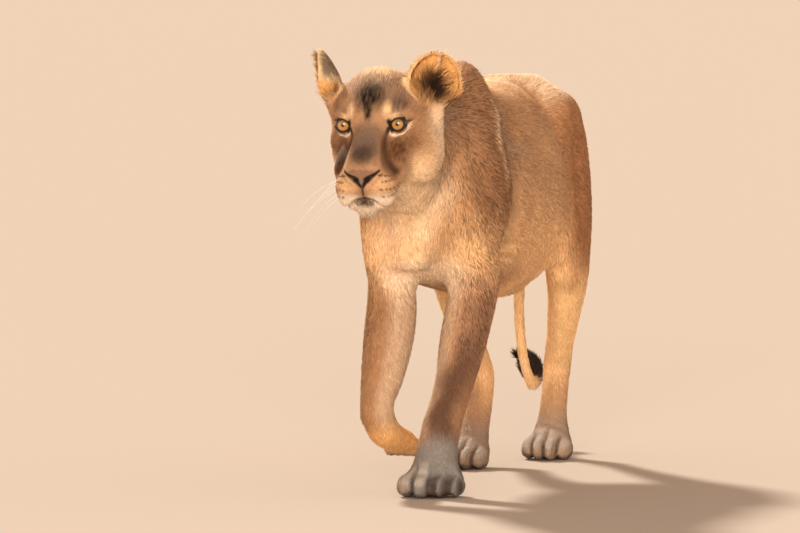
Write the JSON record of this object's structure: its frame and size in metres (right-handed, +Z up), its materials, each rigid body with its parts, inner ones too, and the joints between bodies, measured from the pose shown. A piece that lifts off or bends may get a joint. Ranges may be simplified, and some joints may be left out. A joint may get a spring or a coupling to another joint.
{
  "type": "lioness figure",
  "caption": "Life-size standing figure of a lioness in mid stride, one forefoot lifted, with short tawny fur, round ears and a dark tail tuft.",
  "frame": {"origin": "on the ground, under the middle of the bounding box", "axes": "+Z up, the head faces -Y, the animal's left side is +X"},
  "size_m": [0.3882, 1.8096, 0.972],
  "materials": {
    "coat": "short tawny fur, paler underneath",
    "tuft": "long dark brown hair",
    "eye": "amber iris under a clear wet surface"
  },
  "bodies": {
    "root": {"barrel": "coat", "ear_left": "coat", "ear_right": "coat", "eye_left": "eye", "eye_right": "eye", "forefoot_left": "coat", "forefoot_right": "coat", "foreleg_left": "coat", "foreleg_right": "coat", "head": "coat", "hindfoot_left": "coat", "hindfoot_right": "coat", "hindleg_left": "coat", "hindleg_right": "coat", "hips": "coat", "neck": "coat", "shoulders": "coat", "tail": "coat", "tail_tuft": "tuft"}
  },
  "joints": []
}
